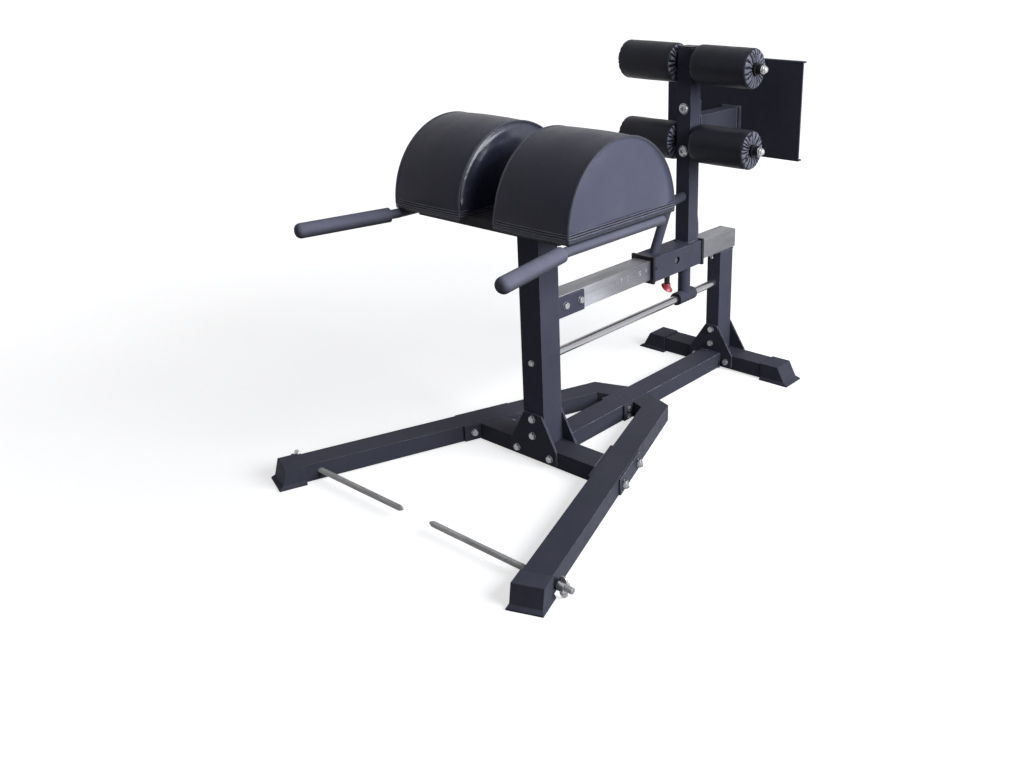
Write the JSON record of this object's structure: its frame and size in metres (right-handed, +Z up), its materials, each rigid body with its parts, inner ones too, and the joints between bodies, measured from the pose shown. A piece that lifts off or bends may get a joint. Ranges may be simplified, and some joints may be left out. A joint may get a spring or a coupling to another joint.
{
  "type": "glute ham developer",
  "caption": "Floor-standing glute ham bench: half-round pads over a splayed base, foot plate and foam ankle rollers on a carriage that slides along a rail and locks with a pop pin.",
  "frame": {"origin": "centre of the bounding box on the floor", "axes": "+X from the pads and grips towards the foot plate, +Y to the left of a user kneeling on the pads and facing the foot plate, +Z up"},
  "size_m": [1.5408, 1.044, 1.095],
  "materials": {
    "charcoal_powder_coat": "satin textured",
    "galvanised_rail": "galvanised",
    "chrome_rod": "polished",
    "zinc_fastener": "zinc plated",
    "bare_steel_peg": "turned steel",
    "black_rubber": "matt",
    "grip_rubber": "matt",
    "black_vinyl": "grained vinyl",
    "black_board": "painted plywood",
    "red_knob": "gloss",
    "black_plastic": "moulded"
  },
  "bodies": {
    "frame": {"spine": "charcoal_powder_coat", "front_backing_plate": "charcoal_powder_coat", "rear_backing_plate": "charcoal_powder_coat", "front_cross_tube": "charcoal_powder_coat", "rear_cross_tube": "charcoal_powder_coat", "left_leg": "charcoal_powder_coat", "right_leg": "charcoal_powder_coat", "left_leg_plate": "charcoal_powder_coat", "right_leg_plate": "charcoal_powder_coat", "left_front_boot": "black_rubber", "right_front_boot": "black_rubber", "left_rear_boot": "black_rubber", "right_rear_boot": "black_rubber", "front_upright": "charcoal_powder_coat", "rear_upright": "charcoal_powder_coat", "rail": "galvanised_rail", "rail_plug": "black_plastic", "guide_rod": "chrome_rod", "pad_board": "black_board", "left_pad": "black_vinyl", "right_pad": "black_vinyl", "left_handle": "charcoal_powder_coat", "right_handle": "charcoal_powder_coat", "left_grip": "grip_rubber", "right_grip": "grip_rubber", "left_peg": "bare_steel_peg", "right_peg": "bare_steel_peg", "peg_spacers": "black_rubber", "frame_bolts": "zinc_fastener", "frame_nuts": "zinc_fastener", "board_bolts": "zinc_fastener"},
    "carriage": {"sleeve": "charcoal_powder_coat", "front_collar": "black_plastic", "rear_collar": "black_plastic", "mast": "charcoal_powder_coat", "mast_cap": "black_plastic", "loop_handle": "charcoal_powder_coat", "guide_post": "charcoal_powder_coat", "front_guide_bush": "black_plastic", "rear_guide_bush": "black_plastic", "pin_barrel": "black_plastic", "strut": "charcoal_powder_coat", "foot_plate": "charcoal_powder_coat", "upper_axle": "zinc_fastener", "lower_axle": "zinc_fastener", "axle_nuts": "zinc_fastener", "mast_bolts": "zinc_fastener", "mast_nuts": "zinc_fastener"},
    "plunger": {"pin_plunger": "zinc_fastener", "pin_knob": "red_knob"},
    "upper_left_roller": {"upper_left_core": "black_plastic", "upper_left_foam": "black_vinyl"},
    "upper_right_roller": {"upper_right_core": "black_plastic", "upper_right_foam": "black_vinyl"},
    "lower_left_roller": {"lower_left_core": "black_plastic", "lower_left_foam": "black_vinyl"},
    "lower_right_roller": {"lower_right_core": "black_plastic", "lower_right_foam": "black_vinyl"},
    "left_wing": {"left_wing_nut": "zinc_fastener"},
    "right_wing": {"right_wing_nut": "zinc_fastener"}
  },
  "joints": [
    {"name": "carriage_slide", "type": "slide", "parent": "frame", "child": "carriage", "axis": [1, 0, 0], "range_m": [-0.3, 0.09]},
    {"name": "pin_pull", "type": "slide", "parent": "carriage", "child": "plunger", "axis": [0, 0, 1], "range_m": [0, 0.012], "stiffness_N_per_m": 300, "springref_m": 0.03},
    {"name": "upper_left_roller_spin", "type": "hinge", "parent": "carriage", "child": "upper_left_roller", "pos_m": [0.50839, 0.134, 1.036], "axis": [0, 1, 0], "continuous": true},
    {"name": "upper_right_roller_spin", "type": "hinge", "parent": "carriage", "child": "upper_right_roller", "pos_m": [0.50839, -0.134, 1.036], "axis": [0, 1, 0], "continuous": true},
    {"name": "lower_left_roller_spin", "type": "hinge", "parent": "carriage", "child": "lower_left_roller", "pos_m": [0.50839, 0.134, 0.8], "axis": [0, 1, 0], "continuous": true},
    {"name": "lower_right_roller_spin", "type": "hinge", "parent": "carriage", "child": "lower_right_roller", "pos_m": [0.50839, -0.134, 0.8], "axis": [0, 1, 0], "continuous": true},
    {"name": "left_wing_nut_spin", "type": "hinge", "parent": "frame", "child": "left_wing", "pos_m": [-0.65755, 0.49, 0.03], "axis": [0, 1, 0], "continuous": true},
    {"name": "right_wing_nut_spin", "type": "hinge", "parent": "frame", "child": "right_wing", "pos_m": [-0.65755, -0.49, 0.03], "axis": [0, 1, 0], "continuous": true}
  ]
}
